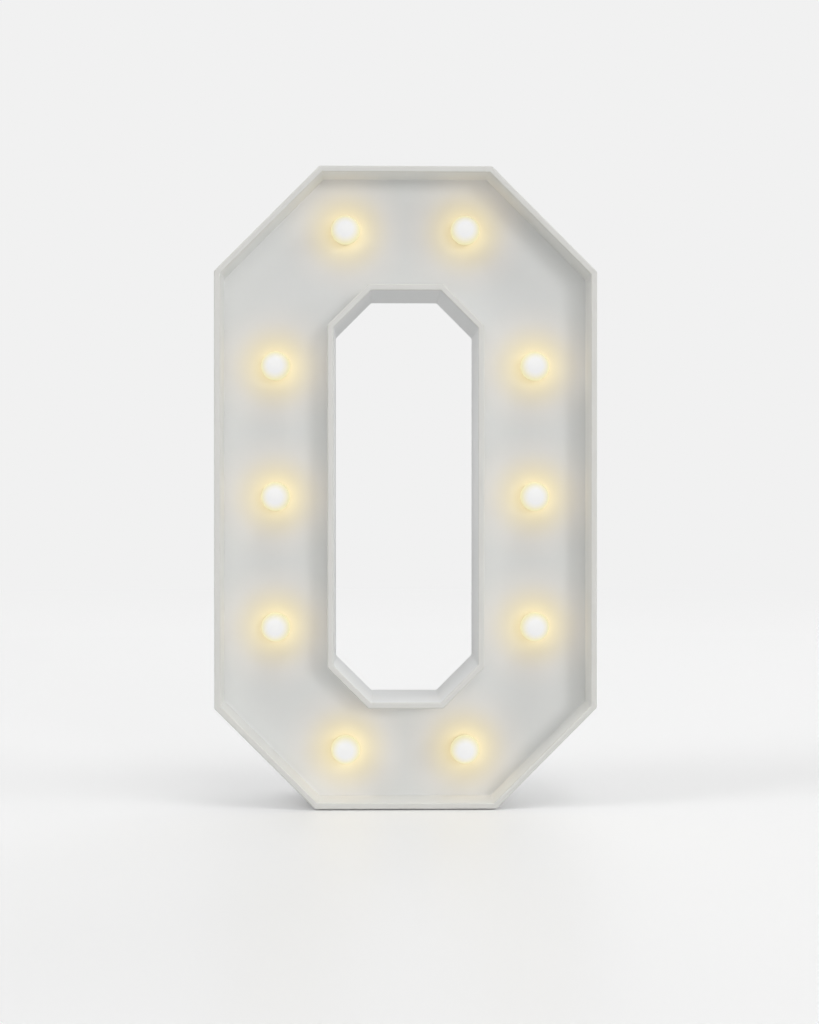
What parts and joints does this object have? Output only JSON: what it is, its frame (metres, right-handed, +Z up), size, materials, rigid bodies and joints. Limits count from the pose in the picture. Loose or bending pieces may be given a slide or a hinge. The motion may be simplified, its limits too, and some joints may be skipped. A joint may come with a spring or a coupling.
{
  "type": "marquee number",
  "caption": "Free-standing battery marquee number: a white octagonal zero with a recessed face of warm bulbs, and a screwed back with a battery bay, door and slide switch.",
  "frame": {"origin": "middle of the base, under the centre of the zero, on the surface that it stands on", "axes": "+Z up the height, -Y out of the lit front, +X to the right seen from the front"},
  "size_m": [0.131, 0.045, 0.22],
  "materials": {
    "white_abs": "satin moulded white",
    "frosted_bulb": "frosted, lit",
    "led_epoxy": "tinted clear epoxy",
    "clear_nylon": "natural",
    "zinc_steel": "zinc plated",
    "tinned_steel": "tinned",
    "nickel_plate": "nickel plated",
    "spring_steel": "nickel plated wire",
    "terminal_brass": "stamped",
    "cell_sleeve": "printed film over a steel can",
    "black_nylon": "moulded",
    "phenolic_board": "sheet",
    "resistor_ceramic": "lacquered",
    "red_pvc": "extruded",
    "black_pvc": "extruded"
  },
  "bodies": {
    "housing": {"front_shell": "white_abs", "back_cover": "white_abs", "cover_screws": "zinc_steel", "bulb_1": "frosted_bulb", "bulb_2": "frosted_bulb", "bulb_3": "frosted_bulb", "bulb_4": "frosted_bulb", "bulb_5": "frosted_bulb", "bulb_6": "frosted_bulb", "bulb_7": "frosted_bulb", "bulb_8": "frosted_bulb", "bulb_9": "frosted_bulb", "bulb_10": "frosted_bulb", "led_1": "led_epoxy", "led_2": "led_epoxy", "led_3": "led_epoxy", "led_4": "led_epoxy", "led_5": "led_epoxy", "led_6": "led_epoxy", "led_7": "led_epoxy", "led_8": "led_epoxy", "led_9": "led_epoxy", "led_10": "led_epoxy", "led_leads": "tinned_steel", "bulb_retainers": "clear_nylon", "battery_1": "cell_sleeve", "battery_2": "cell_sleeve", "link_contact": "nickel_plate", "positive_contact": "nickel_plate", "negative_contact": "nickel_plate", "link_spring": "spring_steel", "negative_spring": "spring_steel", "switch_case": "zinc_steel", "switch_board": "phenolic_board", "switch_blades": "terminal_brass", "switch_screws": "zinc_steel", "resistor": "resistor_ceramic", "positive_wire": "red_pvc", "negative_wire": "black_pvc", "switch_wire": "red_pvc"},
    "door": {"battery_door": "white_abs"},
    "knob": {"switch_knob": "black_nylon"}
  },
  "joints": [
    {"name": "door_hinge", "type": "hinge", "parent": "housing", "child": "door", "pos_m": [0.04512, 0.0201, 0.0523], "axis": [-1, 0, 0], "range_deg": [0, 90]},
    {"name": "switch_slide", "type": "slide", "parent": "housing", "child": "knob", "axis": [0, 0, 1], "range_m": [-0.0035, 0]}
  ]
}
